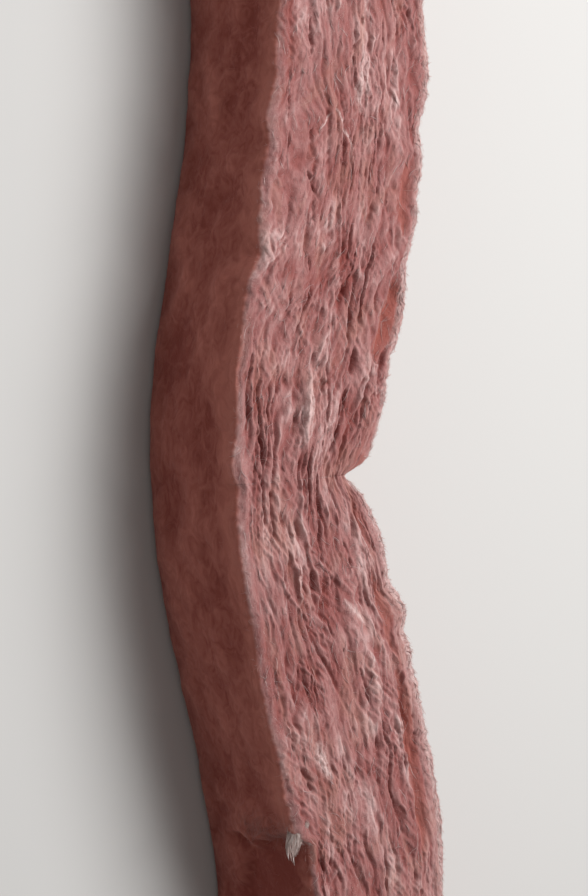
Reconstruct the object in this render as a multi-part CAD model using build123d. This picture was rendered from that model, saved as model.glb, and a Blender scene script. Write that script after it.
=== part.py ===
"""One unfaced glass wool wall batt, lying on one of its two cut faces.

The wool is laid down in thin layers that stand on edge here, so the upward cut face shows them as
long ridges. The two smooth faces of the blanket are its sides. The batt was folded in half in its
bag: the fold left a crease across the middle of one side, and the batt still bows away from it.

X runs across the layers, Y along the batt, and Z up, in millimetres. The origin is the middle of
the box around the batt, on the floor.
"""

import os
from math import atan2, ceil, cos, degrees, radians, sin

from build123d import *

LENGTH = 2362.0  # 93 in wall batt, along its middle
THICKNESS = 159.0  # 6 1/4 in of wool, from smooth face to smooth face
DEPTH = 140.0  # ripped to fill a 5 1/2 in deep stud bay, cut face to cut face

# The bow that the bag fold left: a bend at the crease, a short straight run, an easy curve back
FOLD_ANGLE = 12.4  # how far each half leans from the line of the whole batt, in degrees
FOLD_RADIUS = 580.0
FOLD_RUN = 95.0
EASE_RADIUS = 1080.0

# The section, with soft corners and sides that swell a little
SIDE_SWELL = 5.0
TOP_CORNER = 9.0
FLOOR_CORNER = 7.0
LAYER_WIDTH = 15.0  # a bundle of layers that hangs together on the cut face
LAYER_UNEVENNESS = 0.35  # share by which one bundle is wider or narrower than another
LAYER_STEP = 1.9  # radians from one bundle to the next along the wave that sets their widths
LAYER_RELIEF = 2.6  # how deep the valleys between bundles are

# The crease: a pinched notch straight through the batt, with lips that roll into it
NOTCH_DEPTH = 44.0
NOTCH_MOUTH = 78.0  # from the crease to where each lip leaves the side, along the batt
LIP_CLEARANCE = 1.5  # the notch cutter starts this far outside the side

# Splits between bundles on the ridged face, each a slim lens that opens downwards into the wool
SPLIT_LENGTH = 95.0
SPLIT_WIDTH = 5.0
SPLIT_DEPTH = 11.0
SPLIT_PITCH = 118.0  # from the middle of one split to the next, along the batt
SPLIT_STRIDE = 3  # bundles skipped from one split to the next

# A strip of the outer layer torn off along the other side's upper edge, below the crease
TEAR_START = 300.0  # from the crease, along Y
TEAR_LENGTH = 190.0
TEAR_DEPTH = 10.0
TEAR_HEIGHT = 85.0  # measured down from the ridged face
TEAR_ROUNDING = 6.0


def half_centreline():
    """The middle line of the half that runs to +Y, from the crease to its cut end."""
    bend = JernArc((0, 0), (0, 1), FOLD_RADIUS, -FOLD_ANGLE)
    run = Line(bend @ 1, bend @ 1 + (bend % 1) * FOLD_RUN)
    ease = JernArc(run @ 1, run % 1, EASE_RADIUS, FOLD_ANGLE)
    tail_length = LENGTH / 2 - (bend.length + run.length + ease.length)
    tail = Line(ease @ 1, ease @ 1 + (ease % 1) * tail_length)
    return Wire([*bend.edges(), *run.edges(), *ease.edges(), *tail.edges()])


def place_along(distance):
    """The point and the heading of the middle line of the +Y half, that far from the crease."""
    centreline = half_centreline()
    place = centreline.position_at(distance, position_mode=PositionMode.LENGTH)
    return place, centreline.tangent_at(distance, position_mode=PositionMode.LENGTH)


def layer_valleys():
    """Where the valleys between bundles of layers lie across the cut face, with its two edges."""
    count = max(2, ceil(THICKNESS / LAYER_WIDTH))
    widths = [1 + LAYER_UNEVENNESS * sin(LAYER_STEP * n) for n in range(count)]
    scale = THICKNESS / sum(widths)
    across = -THICKNESS / 2
    valleys = [across]
    for width in widths:
        across += width * scale
        valleys.append(across)
    return valleys


def swollen_blank():
    """The plain section: flat floor and top, swollen sides, soft corners."""
    side = THICKNESS / 2
    blank = make_face(
        [
            Line((-side, 0), (side, 0)),
            ThreePointArc((side, 0), (side + SIDE_SWELL, DEPTH / 2), (side, DEPTH)),
            Line((side, DEPTH), (-side, DEPTH)),
            ThreePointArc((-side, DEPTH), (-side - SIDE_SWELL, DEPTH / 2), (-side, 0)),
        ]
    )
    blank = fillet(blank.vertices().group_by(Axis.Y)[-1], TOP_CORNER)
    return fillet(blank.vertices().group_by(Axis.Y)[0], FLOOR_CORNER)


def layer_ridges():
    """All that lies under the ridged top: one low arch for each bundle of layers."""
    valley_height = DEPTH - LAYER_RELIEF
    body = Pos(0, valley_height / 2) * Rectangle(THICKNESS + 4 * SIDE_SWELL, valley_height)
    valleys = layer_valleys()
    for left, right in zip(valleys, valleys[1:]):
        arch = ThreePointArc((left, valley_height), ((left + right) / 2, DEPTH), (right, valley_height))
        body += make_face([arch, Line((right, valley_height), (left, valley_height))])
    return body


def batt_section():
    """The cross section at the crease."""
    return Plane.XZ * (swollen_blank() & layer_ridges())


def whole_from_half(section):
    """Sweeps a section from the crease to one end, and mirrors it to the other."""
    half = sweep(section, path=half_centreline())
    return half + mirror(half, about=Plane.XZ)


def crease_notch():
    """The pinched notch in the +X side, as a cutter that runs straight up through the batt."""
    place, heading = place_along(NOTCH_MOUTH)
    to_side = THICKNESS / 2 + SIDE_SWELL + LIP_CLEARANCE
    mouth = place + Vector(heading.Y, -heading.X) * to_side
    far_mouth = Vector(mouth.X, -mouth.Y)
    tip = Vector(THICKNESS / 2 - NOTCH_DEPTH, 0)
    upper_lip = TangentArc(mouth, tip, tangent=-heading)
    lower_lip = TangentArc(far_mouth, tip, tangent=(-heading.X, heading.Y))
    profile = make_face([upper_lip, lower_lip, Line(mouth, far_mouth)])
    return extrude(profile, amount=DEPTH)


def lens(length, width):
    """A slim pointed outline along Y, about the origin."""
    tip = length / 2
    right = ThreePointArc((0, -tip), (width / 2, 0), (0, tip))
    left = ThreePointArc((0, tip), (-width / 2, 0), (0, -tip))
    return make_face([right, left])


def layer_splits():
    """The splits of both halves, as cutters: each stands in a valley and keeps clear of the crease."""
    valleys = layer_valleys()[1:-1]
    floor = DEPTH - SPLIT_DEPTH
    slit = extrude(Pos(0, 0, floor) * lens(SPLIT_LENGTH, SPLIT_WIDTH), amount=2 * SPLIT_DEPTH)
    count = int((LENGTH / 2 - NOTCH_MOUTH) / SPLIT_PITCH)
    splits = []
    for n in range(count):
        place, heading = place_along(NOTCH_MOUTH + (n + 0.5) * SPLIT_PITCH)
        turn = degrees(atan2(-heading.X, heading.Y))
        for half in (1, -1):
            across = valleys[(SPLIT_STRIDE * n + (half > 0)) % len(valleys)]
            splits.append(Pos(place.X, half * place.Y) * Rot(0, 0, half * turn) * Pos(across, 0) * slit)
    return splits


def torn_strip():
    """The wool missing where a strip of the outer layer has come away from the -X side."""
    side = THICKNESS / 2 + SIDE_SWELL
    band = Pos(-side, DEPTH) * Rectangle(2 * (TEAR_DEPTH + SIDE_SWELL), 2 * TEAR_HEIGHT)
    band = fillet(band.vertices().group_by(Axis.Y)[0].group_by(Axis.X)[-1], TEAR_ROUNDING)
    swept = whole_from_half(Plane.XZ * band)
    window = Pos(0, -TEAR_START - TEAR_LENGTH / 2, DEPTH) * Box(LENGTH, TEAR_LENGTH, 4 * DEPTH)
    return swept & window


def glass_wool_batt():
    batt = whole_from_half(batt_section()) - crease_notch() - layer_splits() - torn_strip()
    box = batt.bounding_box()
    return Pos(-(box.min.X + box.max.X) / 2, -(box.min.Y + box.max.Y) / 2, -box.min.Z) * batt


os.makedirs("parts", exist_ok=True)
export_step(glass_wool_batt(), "parts/glass_wool_batt.step")
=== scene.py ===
"""An unfaced glass wool batt, lying on one of its cut faces and seen from above.

Sizes are in metres, and angles in radians unless a name says otherwise. X runs across the layers of
wool, Y along the batt, and Z up out of the ridged cut face.
"""

from math import cos, inf, pi, radians, sin

import bmesh
import bpy
import numpy as np
from mathutils import Matrix, Vector


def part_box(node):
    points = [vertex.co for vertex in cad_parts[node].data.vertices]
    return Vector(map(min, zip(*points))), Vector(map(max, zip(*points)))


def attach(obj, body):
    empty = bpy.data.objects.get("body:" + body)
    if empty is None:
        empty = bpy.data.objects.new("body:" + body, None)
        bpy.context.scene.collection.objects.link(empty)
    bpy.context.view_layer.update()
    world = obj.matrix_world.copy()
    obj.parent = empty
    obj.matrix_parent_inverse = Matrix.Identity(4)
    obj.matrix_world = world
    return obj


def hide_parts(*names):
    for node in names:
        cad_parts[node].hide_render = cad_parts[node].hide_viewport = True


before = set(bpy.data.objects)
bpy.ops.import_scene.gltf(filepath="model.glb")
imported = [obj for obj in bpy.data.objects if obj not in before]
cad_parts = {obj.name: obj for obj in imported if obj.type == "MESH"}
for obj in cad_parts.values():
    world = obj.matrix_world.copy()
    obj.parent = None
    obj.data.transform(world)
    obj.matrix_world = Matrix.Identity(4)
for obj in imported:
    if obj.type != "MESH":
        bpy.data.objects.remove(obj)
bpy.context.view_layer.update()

# The camera looks down on the ridged face from beyond the shaded side, with the crease a little
# below the middle of the picture. It is a long lens, turned a little on its own axis.
WOOL_THICKNESS = 0.159
WOOL_DEPTH = 0.140
SIDE_SWELL = 0.005
VIEW_YAW = radians(36)
VIEW_PITCH = radians(4.28)
VIEW_ROLL = radians(-1.71)
VIEW_DISTANCE = 2.561
VIEW_LENS = 120.5  # millimetres
VIEW_SENSOR = 36  # millimetres, along the picture's height
VIEW_AIM = Vector((-0.022, 0.0278, WOOL_DEPTH))  # from the middle line of the wool at the crease

lowest_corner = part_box("glass_wool_batt")[0]
crease_x = lowest_corner[0] + WOOL_THICKNESS / 2 + SIDE_SWELL


def look_down():
    """Places the camera and makes it the scene's own."""
    flat = cos(VIEW_PITCH)
    forward = Vector((sin(VIEW_YAW) * flat, -sin(VIEW_PITCH), -cos(VIEW_YAW) * flat))
    level = forward.cross(Vector((0, 1, 0))).normalized()
    upright = level.cross(forward)
    right = cos(VIEW_ROLL) * level + sin(VIEW_ROLL) * upright
    above = cos(VIEW_ROLL) * upright - sin(VIEW_ROLL) * level
    turn = Matrix((right, above, -forward)).transposed().to_4x4()
    place = Vector((crease_x, 0, 0)) + VIEW_AIM - forward * VIEW_DISTANCE
    camera = bpy.data.objects.new("camera", bpy.data.cameras.new("camera"))
    camera.data.lens = VIEW_LENS
    camera.data.sensor_width = VIEW_SENSOR
    camera.matrix_world = Matrix.Translation(place) @ turn
    bpy.context.scene.collection.objects.link(camera)
    bpy.context.scene.camera = camera


look_down()

# The body of the batt: glass fibres laid down in thin layers that stand on edge here, so the cut
# faces show them as ridges and grooves, while the two smooth faces of the blanket are the sides.
# It bows away from the crease that the fold in the bag left. Four lengths, cut apart unseen.
WOOL_LENGTH = 2.362
FOLD_ANGLE = radians(12.4)
FOLD_RADIUS = 0.580
FOLD_RUN = 0.095
EASE_RADIUS = 1.080
TOP_CORNER = 0.009
FLOOR_CORNER = 0.007
END_CORNER = 0.008
SHARP_ANGLE = radians(75)
NOTCH_DEPTH = 0.044
NOTCH_MOUTH = 0.078
NOTCH_SOFTNESS = 0.030  # how blunt the crease is in the layers furthest from it
NOTCH_DIP = 0.007  # how far the cut face sinks at the tip of the notch
NOTCH_DIP_REACH = 0.010
SQUEEZE_POWER = 3  # how much more the layers near the notch are squeezed than the far ones
MIDDLE_REACH = 0.445  # the two middle lengths end this far from the crease
COLUMNS = {"floor": 5, "floor_corner": 5, "side": 27, "top_corner": 10, "top": 168}
MIDDLE_ROWS = 346
END_ROWS = 196
CORNER_ROWS = 7
CAP_ROWS = 24
LINE_STEPS = 4001
DRIFT_GAIN = 1.7  # brings the highest places of a drift to about 1


def gentle(low, high, value):
    """Rises smoothly from 0 to 1 as the value goes from low to high."""
    share = np.clip((value - low) / (high - low), 0, 1)
    return share * share * (3 - 2 * share)


def hump(value, middle, reach):
    """1 where the value is at the middle, and next to nothing twice the reach away from it."""
    return np.exp(-(((value - middle) / reach) ** 2))


def wool_line(along):
    """Place across, place along and heading of the middle line, at each distance from the crease."""
    ends = np.cumsum([0, FOLD_RADIUS * FOLD_ANGLE, FOLD_RUN, EASE_RADIUS * FOLD_ANGLE])
    steps = np.linspace(0, WOOL_LENGTH / 2, LINE_STEPS)
    heading = np.interp(steps, ends, [0, FOLD_ANGLE, FOLD_ANGLE, 0])
    step = steps[1]
    across = np.concatenate([[0], np.cumsum(np.sin((heading[1:] + heading[:-1]) / 2))]) * step
    ahead = np.concatenate([[0], np.cumsum(np.cos((heading[1:] + heading[:-1]) / 2))]) * step
    far = np.abs(along)
    side = np.sign(along)
    place = np.interp(far, steps, across), side * np.interp(far, steps, ahead)
    return *place, side * np.interp(far, steps, heading)


def wool_section():
    """The outline of the section as columns: across, height, and the outward normal of each."""
    half, deep = WOOL_THICKNESS / 2, WOOL_DEPTH
    corners = [
        (-half + FLOOR_CORNER, FLOOR_CORNER, FLOOR_CORNER, 1.5 * pi, pi, "floor_corner"),
        (-half + TOP_CORNER, deep - TOP_CORNER, TOP_CORNER, pi, 0.5 * pi, "top_corner"),
        (half - TOP_CORNER, deep - TOP_CORNER, TOP_CORNER, 0.5 * pi, 0, "top_corner"),
        (half - FLOOR_CORNER, FLOOR_CORNER, FLOOR_CORNER, 0, -0.5 * pi, "floor_corner"),
    ]
    straights = ["floor", "side", "top", "side", "floor"]
    outline = [(0.0, 0.0, 0.0, -1.0)]
    for straight, corner in zip(straights, corners + [None]):
        if corner is None:
            target, facing = (0.0, 0.0), (0.0, -1.0)
        else:
            middle_across, middle_high, radius, start, stop, name = corner
            facing = cos(start), sin(start)
            target = middle_across + radius * facing[0], middle_high + radius * facing[1]
        begin = outline[-1]
        for n in range(1, COLUMNS[straight] + 1):
            share = n / COLUMNS[straight]
            place = [begin[k] + (target[k] - begin[k]) * share for k in (0, 1)]
            outline.append((*place, *facing))
        if corner is not None:
            for n in range(1, COLUMNS[name] + 1):
                angle = start + (stop - start) * n / COLUMNS[name]
                place = middle_across + radius * cos(angle), middle_high + radius * sin(angle)
                outline.append((*place, cos(angle), sin(angle)))
    across, high, out_across, out_high = np.array(outline).T
    swell = 1 + SIDE_SWELL / half * (1 - (2 * high / deep - 1) ** 2)
    return across * swell, high, out_across, out_high


def drift(across, along, high, seed):
    """Smooth random rise and fall, from about -1 to 1, one swell to each unit of its coordinates."""
    draw = np.random.default_rng(seed)
    order = draw.permutation(256)
    slopes = draw.normal(size=(256, 3))
    slopes /= np.linalg.norm(slopes, axis=1)[:, None]
    cells = [np.floor(c).astype(np.int64) for c in (across, along, high)]
    parts = [c - cell for c, cell in zip((across, along, high), cells)]
    eased = [p * p * p * (p * (6 * p - 15) + 10) for p in parts]
    total = np.zeros_like(parts[0])
    for corner in np.ndindex(2, 2, 2):
        pick = order[(cells[0] + corner[0]) & 255]
        pick = order[(pick + cells[1] + corner[1]) & 255]
        slope = slopes[order[(pick + cells[2] + corner[2]) & 255]]
        weight = 1.0
        height = 0.0
        for k in range(3):
            weight = weight * (eased[k] if corner[k] else 1 - eased[k])
            height = height + slope[..., k] * (parts[k] - corner[k])
        total += weight * height
    return DRIFT_GAIN * total


# What stands out singly on the ridged face, each as the places it runs through, along and across,
# then its width and its height or depth at the middle. Troughs show the warmer wool inside, in a
# salmon that deepens with their depth as painted shade, and frosts are places where loose fibres
# make the wool nearly white, with their strength at the end.
HOLLOWS = [
    ([(0.092, 0.033), (0.106, 0.037), (0.121, 0.034)], 0.0026, 0.0061),
    ([(0.018, 0.020), (0.046, 0.027), (0.086, 0.033)], 0.0017, 0.0042),
    ([(0.150, 0.020), (0.172, 0.018)], 0.0013, 0.0027),
    ([(0.092, -0.010), (0.108, -0.007)], 0.0015, 0.0027),
    ([(0.068, -0.019), (0.104, -0.017)], 0.0009, 0.0017),
    ([(0.064, -0.039), (0.106, -0.047)], 0.0010, 0.0022),
    ([(0.174, -0.024), (0.188, -0.026)], 0.0014, 0.0027),
    ([(0.178, -0.065), (0.198, -0.073)], 0.0015, 0.0022),
    ([(0.215, -0.026), (0.236, -0.030)], 0.0014, 0.0027),
    ([(0.236, -0.025), (0.262, -0.040)], 0.0013, 0.0027),
    ([(0.270, -0.061), (0.295, -0.062)], 0.0009, 0.0022),
    ([(0.278, -0.038), (0.302, -0.039)], 0.0014, 0.0022),
    ([(0.302, -0.062), (0.330, -0.066)], 0.0010, 0.0022),
    ([(0.354, 0.042), (0.376, 0.043)], 0.0011, 0.0022),
    ([(0.362, -0.045), (0.397, -0.047)], 0.0014, 0.0035),
    ([(0.363, -0.007), (0.382, 0.005)], 0.0011, 0.0030),
    ([(0.376, 0.030), (0.402, 0.029)], 0.0009, 0.0027),
    ([(-0.036, -0.052), (0.022, -0.061)], 0.0010, 0.0022),
    ([(-0.087, 0.032), (-0.057, 0.026)], 0.0013, 0.0027),
    ([(-0.098, -0.018), (-0.078, -0.024)], 0.0011, 0.0021),
    ([(-0.084, -0.025), (-0.062, -0.026)], 0.0009, 0.0022),
    ([(-0.078, -0.038), (-0.053, -0.039)], 0.0009, 0.0018),
    ([(-0.142, -0.001), (-0.123, -0.004)], 0.0010, 0.0022),
    ([(-0.170, 0.008), (-0.150, 0.004)], 0.0011, 0.0022),
    ([(-0.175, -0.047), (-0.155, -0.043)], 0.0014, 0.0027),
    ([(-0.214, 0.023), (-0.174, 0.019)], 0.0014, 0.0030),
    ([(-0.267, -0.055), (-0.238, -0.061)], 0.0017, 0.0027),
    ([(-0.259, -0.017), (-0.242, -0.017)], 0.0010, 0.0022),
    ([(-0.281, -0.014), (-0.253, -0.003)], 0.0010, 0.0022),
    ([(-0.320, -0.044), (-0.300, -0.043)], 0.0010, 0.0022),
    ([(-0.336, 0.028), (-0.314, 0.027)], 0.0010, 0.0022),
    ([(-0.356, -0.060), (-0.326, -0.059)], 0.0018, 0.0027),
]
CRESTS = [
    (
        [(0.014, -0.004), (0.042, -0.012), (0.075, -0.009), (0.098, -0.002), (0.130, 0.006)],
        0.0078,
        0.0050,
    ),
    (
        [(-0.100, -0.004), (-0.053, -0.012), (-0.033, -0.018), (0.004, -0.010), (0.030, -0.006)],
        0.0022,
        0.0034,
    ),
    ([(-0.045, 0.016), (-0.020, 0.011), (0.014, 0.006)], 0.0019, 0.0026),
    ([(-0.118, -0.026), (-0.097, -0.036), (-0.070, -0.050)], 0.0020, 0.0030),
    ([(-0.104, -0.026), (-0.065, -0.029), (-0.028, -0.028)], 0.0022, 0.0028),
    ([(-0.245, 0.020), (-0.209, 0.030), (-0.165, 0.032)], 0.0050, 0.0034),
    ([(0.130, 0.012), (0.160, 0.008), (0.190, 0.012)], 0.0034, 0.0030),
    ([(0.056, 0.044), (0.092, 0.048), (0.150, 0.042)], 0.0085, 0.0032),
    ([(-0.030, -0.068), (0.020, -0.073), (0.050, -0.069)], 0.0028, 0.0018),
]
TROUGHS = [
    ([(0.106, 0.061), (0.144, 0.0665), (0.186, 0.068)], 0.0092, 0.0105),
    ([(0.222, 0.067), (0.261, 0.066), (0.292, 0.064)], 0.0058, 0.0050),
    ([(-0.075, 0.058), (-0.040, 0.056), (-0.010, 0.050)], 0.0084, 0.0030),
    ([(-0.178, 0.061), (-0.128, 0.057), (-0.092, 0.055)], 0.0064, 0.0052),
    ([(-0.352, 0.056), (-0.281, 0.057), (-0.235, 0.058), (-0.185, 0.060)], 0.0074, 0.0074),
]
FROSTS = [
    ([(-0.262, -0.036), (-0.222, -0.041)], 0.0060, 1.0),
    ([(0.318, 0.010), (0.362, 0.007)], 0.0036, 0.9),
    ([(0.286, 0.007), (0.322, -0.018)], 0.0012, 1.3),
    ([(0.297, -0.032), (0.315, -0.021)], 0.0010, 1.2),
    ([(-0.142, 0.036), (-0.110, 0.016)], 0.0034, 1.0),
    ([(-0.020, 0.074), (0.004, 0.066)], 0.0060, 0.8),
    ([(0.030, -0.010), (0.080, -0.009)], 0.0060, 0.5),
]
FAR_PITCH = 0.022  # between the middles of the hollows and crests beyond the middle of the batt
FAR_START = 0.42
FAR_REACHES = (0.010, 0.028)  # half of the length of one
FAR_ACROSS = 0.068  # how far from the middle line they lie at most
FAR_SLANT = 0.005
MARK_TIP = 0.35  # width near the tips of a hollow or crest, as a share of its width at the middle
MARK_WOBBLE = 0.0008
MARK_WOBBLE_PITCH = 0.005
# How far the upper edges of the two sides stand out or in, along the batt from one end to the other
LEFT_ARRIS = [
    (-0.45, 0.0), (-0.36, -0.002), (-0.31, -0.003), (-0.28, 0.001), (-0.20, 0.003), (-0.135, 0.002),
    (-0.112, -0.002), (-0.03, 0.001), (-0.005, -0.002), (0.015, 0.003), (0.040, -0.002), (0.07, 0.001),
    (0.150, 0.003), (0.180, -0.004), (0.21, 0.001), (0.249, 0.005), (0.281, 0.002), (0.304, 0.005),
    (0.345, -0.002), (0.371, 0.002), (0.41, -0.004), (0.45, 0.0),
]
RIGHT_ARRIS = [
    (-0.45, 0.0), (-0.39, -0.005), (-0.33, 0.002), (-0.28, 0.0), (-0.22, -0.002), (-0.157, -0.003),
    (-0.144, 0.003), (-0.115, -0.008), (-0.072, -0.008), (-0.042, -0.009), (-0.018, -0.005),
    (-0.005, -0.003), (0.010, 0.005), (0.03, 0.0), (0.05, -0.003), (0.115, -0.002), (0.135, 0.004),
    (0.167, 0.007), (0.20, 0.001), (0.238, 0.006), (0.255, 0.002), (0.28, 0.005), (0.314, -0.002),
    (0.345, 0.004), (0.37, 0.005), (0.405, -0.002), (0.45, 0.0),
]
ARRIS_REACH = 0.040  # how far in from the side, and how far down it, that is felt
ARRIS_FALL = 0.070
SCALLOP_REACH = 0.018
SCALLOP_STAND = 0.0010
UPPER_RIM = 0.0030  # width of the smooth pale rim on the creased side, above and below the crease
LOWER_RIM = 0.0150
RIM_CHANGE = 0.010  # it widens over this much on either side of the crease
RIM_BULGE = 0.0040
RIM_BULGE_PLACE = (0.150, 0.050)
RIM_INNER_EDGE = (-0.0020, 0.0015)
RIM_FALL = 0.0012
LIP_ACROSS = (0.008, 0.068)  # the lips of the crease are smoother and warmer, fading over these
LIP_ALONG = (0.010, 0.064)
FAR_EDGE = (0.002, 0.014)
TEAR_START = 0.300  # below the crease
TEAR_END = 0.490
TEAR_DEPTH = 0.010
TEAR_REACH = 0.030  # how far in from the side the layers make room for it
TEAR_FLOOR = 0.055  # height above the floor where the torn strip ends
TEAR_EDGE = 0.011  # how long the torn wool takes to thin out
TEAR_END_EDGE = 0.030
TEAR_FLOOR_EDGE = 0.014
TEAR_SLANT = 0.10
# What is uneven, each as one or more drifts: the size, the pitch each way, and the seed of its shape
SIDE_LUMPS = [(0.0032, (0.050, 0.070, 0.045), 21), (0.0020, (0.050, 0.026, 0.019), 22)]
SIDE_KNOTS = [(0.0012, (0.050, 0.011, 0.009), 23)]
SIDE_GRAIN = [(0.0004, (0.020, 0.005, 0.004), 26)]
RIM_WANDER = [(0.0020, (0.040, 0.2, inf), 27)]
EDGE_RAGS = [(0.0014, (0.008, 0.020, 1), 28)]
TEAR_RAGS = [(0.012, (0.020, 0.030, 0.024), 31), (0.005, (0.020, 0.011, 0.012), 43)]
SCALLOPS = [
    (0.0022, (0.0240, 0.1, inf), 32),
    (0.0018, (0.0095, 0.1, 0.030), 33),
    (0.0012, (0.0045, 0.1, 0.020), 34),
]
HOLLOW_CHANGE = [(0.50, (0.006, 0.004, inf), 42)]
TROUGH_CHANGE = [(0.45, (0.021, 0.2, inf), 52)]
# How smooth the wool is at its smoothest, and how much of its relief it loses with that
SMOOTHNESS = {"rim": 0.75, "lips": 0.85, "troughs": 0.82}
SMOOTH_TROUGH_DEPTH = 0.0045
LEVELLING = 0.7
FAR_LEVELLING = 0.6
SIDE_LEVELLING = 0.7
SIDE_LEVEL_BAND = (-0.035, -0.008)  # from the upper edge
SMOOTH_TONE = 0.62  # paleness of smooth wool
# Crests are made paler as painted highlight, and hollows darker as painted shade
CREST_HIGHLIGHT = 75  # what a crest and a hollow change in paleness, for each metre of height
HOLLOW_SHADE = 60
# Each side is paler near its upper edge and darker below it: painted light and shade
SIDE_TONE = 0.40  # paleness of a side, what a lump adds for each metre, and what the upper edge adds
SIDE_LUMP_TONE = 110
SIDE_EDGE_LIGHT = 0.50
SIDE_LIGHT_BAND = (-0.036, -0.004)
# How much the torn strip is darkened, as painted shade in its recess
TEAR_SHADE = 0.35
# How much of the wool is hidden under pale loose fibres, and painted highlight on crests and along the
# edge of the creased side
CREST_FROST_AND_HIGHLIGHT = 28
UPPER_EDGE_FROST_AND_HIGHLIGHT = 0.52  # on the creased side's edge, above and below the crease
LOWER_EDGE_FROST_AND_HIGHLIGHT = 0.78
EDGE_FROST_CHANGE = 0.030
FAR_EDGE_FROST = 0.16
EDGE_FROST_WIDTH = (0.0015, 0.0095)
RIM_FROST = 0.20
RIM_FROST_DEPTHS = (0.0009, 0.0021)  # it ends in troughs of these depths
# How warm it is inside: the share of salmon that comes in over each span of a trough's depth, so deeper
# troughs darken as painted shade
POCKET_WARMTH_AND_SHADE = [(0.70, (0.0, 0.0034)), (0.30, (0.0020, 0.0080))]
LIP_WARMTH = 0.70
LIP_WARMTH_RELIEF = (-0.0012, 0.0008)
# What counts as cut, by how far it faces up, and where the finish of the face gives way to the side's
CUT_FACING = (0.25, 0.85)
UNDERSIDE_FACING = -0.9
FLOOR_LEVELLING = 0.010
FACE_END = (-0.017, -0.004)  # from the upper edge, on the creased side
FACE_END_RAGS = 0.004
# On the shaded side the side's darker colour reaches further up over the edge, as painted shade
SHADED_FACE_END = (0.15, 0.90)  # and on the shaded side, by how far it is cut
SHADED_FACE_RAGS = 0.3
SHADED_FACE_DELAY = 0.10


def strand(across, along, high, wide, long, seed):
    """Smooth random rise and fall drawn out along the layers, by its usual width and length."""
    return drift(across / wide, along / long, high / long, seed)


def uneven(kinds, *place):
    """Several drifts in one, each as its size, its pitch each way of the place, and its seed."""
    total = 0
    for size, pitches, seed in kinds:
        total = total + size * drift(*[way / pitch for way, pitch in zip(place, pitches)], seed)
    return total


def marked(features, across, along, leaning=False):
    """How much of the features in a list there is at each place. Leaning ones start with a steep wall
    on the shaded side, and their floor rises gently from it."""
    total = np.zeros_like(across)
    for places, width, most in features:
        run, line = np.array(places).T
        share = np.clip((along - run[0]) / (run[-1] - run[0]), 0, 1)
        near = 4 * share * (1 - share)
        wobble = MARK_WOBBLE * np.sin(along / MARK_WOBBLE_PITCH + 90 * line[0])
        middle = np.interp(along, run, line) + wobble
        beside = (across - middle) / (width * (MARK_TIP + (1 - MARK_TIP) * near))
        if leaning:
            fall = gentle(-1.30, -0.40, beside) * (1 - gentle(-0.5, 1.7, beside))
        else:
            fall = hump(beside, 0, 1)
        total = np.maximum(total, most * np.sqrt(near) * fall)
    return total


def far_features(seed, width, height):
    """Hollows or crests for the stretches of the batt beyond its middle, strewn at random."""
    draw = np.random.default_rng(seed)
    features = []
    middle = FAR_START
    while middle < WOOL_LENGTH / 2:
        for half in (1, -1):
            reach = draw.uniform(*FAR_REACHES)
            place = draw.uniform(-FAR_ACROSS, FAR_ACROSS)
            begin = half * middle - reach, place - draw.uniform(-FAR_SLANT, FAR_SLANT)
            finish = half * middle + reach, place
            size = width * draw.uniform(0.6, 1.3), height * draw.uniform(0.5, 1.3)
            features.append(([begin, finish], *size))
        middle += FAR_PITCH * draw.uniform(0.6, 1.4)
    return features


HOLLOWS += far_features(5, 0.0015, 0.0030)
CRESTS += far_features(6, 0.0030, 0.003)


# The waves that the layers of the ridged face follow, each as its usual width and length and the
# seed of its shape. Ropes are the widest bundles of layers, and cords the next.
WAVES = {
    "broad_sway": (0.050, 0.100, 11),
    "sway": (0.030, 0.046, 12),
    "small_sway": (0.009, 0.014, 24),
    "swells": (0.045, 0.120, 13),
    "busy_places": (0.030, 0.055, 25),
    "fraying": (0.0070, 0.013, 51),
    "ropes": (0.0200, 0.120, 14),
    "rope_gap_places": (0.036, 0.065, 47),
    "rope_lip_places": (0.03, 0.06, 49),
    "cords": (0.0105, 0.058, 15),
    "cord_gap_places": (0.020, 0.040, 48),
    "cord_lip_places": (0.02, 0.04, 50),
    "strings": (0.0050, 0.022, 46),
    "deep_grooves": (0.0085, 0.040, 16),
    "slim_grooves": (0.0042, 0.020, 17),
    "fine_grooves": (0.0029, 0.008, 18),
    "hems": (0.0056, 0.030, 35),
    "hem_places": (0.015, 0.026, 36),
    "threads": (0.0024, 0.0054, 41),
    "patches": (0.0160, 0.055, 44),
    "flecks": (0.0085, 0.032, 45),
}
SWAYS = {"broad_sway": 0.0060, "sway": 0.0054, "small_sway": 0.0015}
LEAN_SHIFT = 0.032  # how far the layers drift across the batt above the crease
LEAN_SETS_IN = (0.070, 0.215)
LEAN_DIES_OUT = (0.235, 0.640)
LEAN_MIDDLE = -0.008
LEAN_REACH = 0.060
OPEN_PLACE = (0.090, 0.110)  # where along the batt the bundles have parted most, and how far it goes
FRAYED_PLACE = (-0.140, 0.090)  # and where most wisps lie aslant of them
WISP_SIZE = (0.0031, 0.019)
WISP_LEANS = (0.62, -0.70)
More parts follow.
